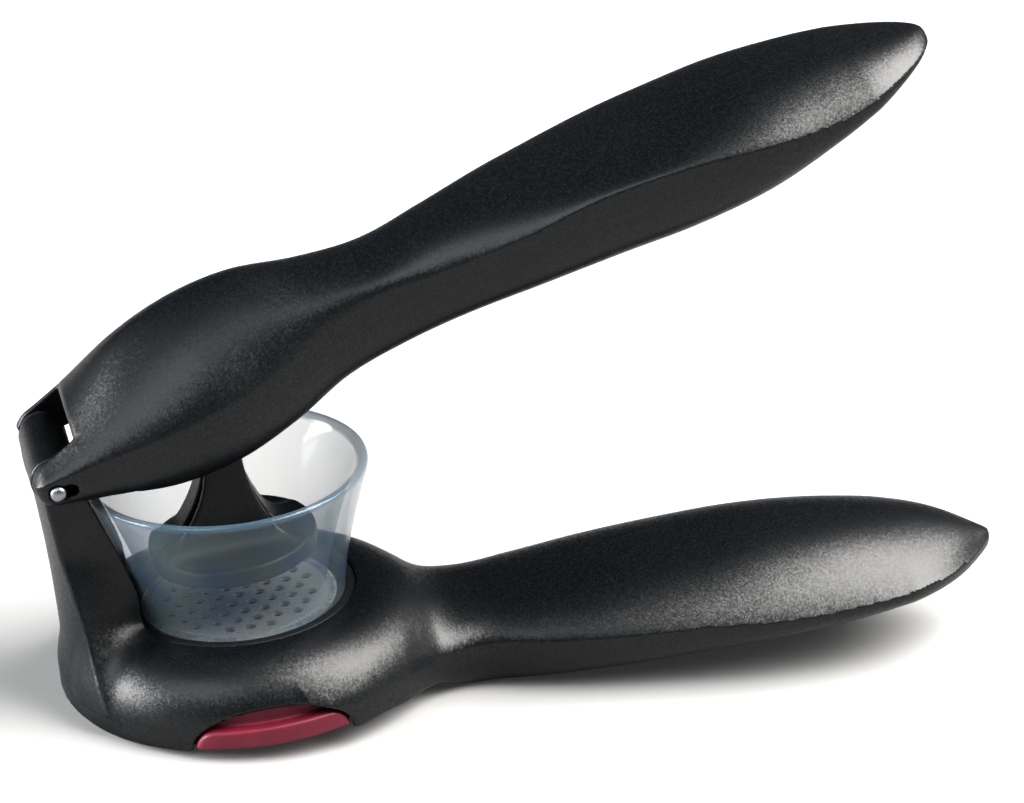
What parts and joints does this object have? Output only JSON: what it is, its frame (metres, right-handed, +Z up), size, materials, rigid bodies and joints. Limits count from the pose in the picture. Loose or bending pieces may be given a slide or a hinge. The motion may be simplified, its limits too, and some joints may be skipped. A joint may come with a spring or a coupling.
{
  "type": "garlic press",
  "caption": "Garlic press with two levers, a clear hopper over a sieve, a hanging piston and a pull-out scraper in its round base.",
  "frame": {"origin": "centre of the base ring's bottom face, on the hopper's axis", "axes": "+X along the levers towards their tips, +Y along the hinge pin, +Z up, from the base ring to the hopper's rim"},
  "size_m": [0.1849, 0.0695, 0.118],
  "materials": {
    "enamel": "satin charcoal enamel with a fine metallic flake, on die-cast aluminium",
    "steel": "stainless steel, fine satin",
    "bronze": "sintered bronze",
    "nylon": "natural nylon",
    "clear_plastic": "clear moulded polycarbonate with a faint cool tint, polished",
    "black_rubber": "black silicone rubber",
    "red_plastic": "crimson moulded nylon, satin"
  },
  "bodies": {
    "base": {"body": "enamel", "hinge_bush": "bronze", "hinge_washer_left": "nylon", "hinge_washer_right": "nylon", "hopper_cup": "clear_plastic", "cup_seal": "black_rubber", "sieve_plate": "steel", "base_plate": "steel", "base_screw_1": "steel", "base_screw_2": "steel", "base_screw_3": "steel", "base_screw_4": "steel"},
    "lever": {"upper_handle": "enamel", "hinge_pin": "steel", "plunger_pin": "steel"},
    "piston": {"plunger": "enamel", "plunger_washer_left": "nylon", "plunger_washer_right": "nylon"},
    "scraper": {"scraper_frame": "red_plastic", "wiper_blade": "black_rubber"}
  },
  "joints": [
    {"name": "lever_hinge", "type": "hinge", "parent": "base", "child": "lever", "pos_m": [-0.032, 0, 0.0475], "axis": [0, -1, 0], "range_deg": [-16.8, 30]},
    {"name": "piston_swing", "type": "hinge", "parent": "lever", "child": "piston", "pos_m": [-0.00189, 0, 0.05839], "axis": [0, -1, 0], "range_deg": [-24.2, 13.6]},
    {"name": "scraper_slide", "type": "slide", "parent": "base", "child": "scraper", "axis": [0, -1, 0], "range_m": [0, 0.034]}
  ],
  "couplings": [
    {"joint": "piston_swing", "follows": "lever_hinge", "ratio": -0.8}
  ]
}
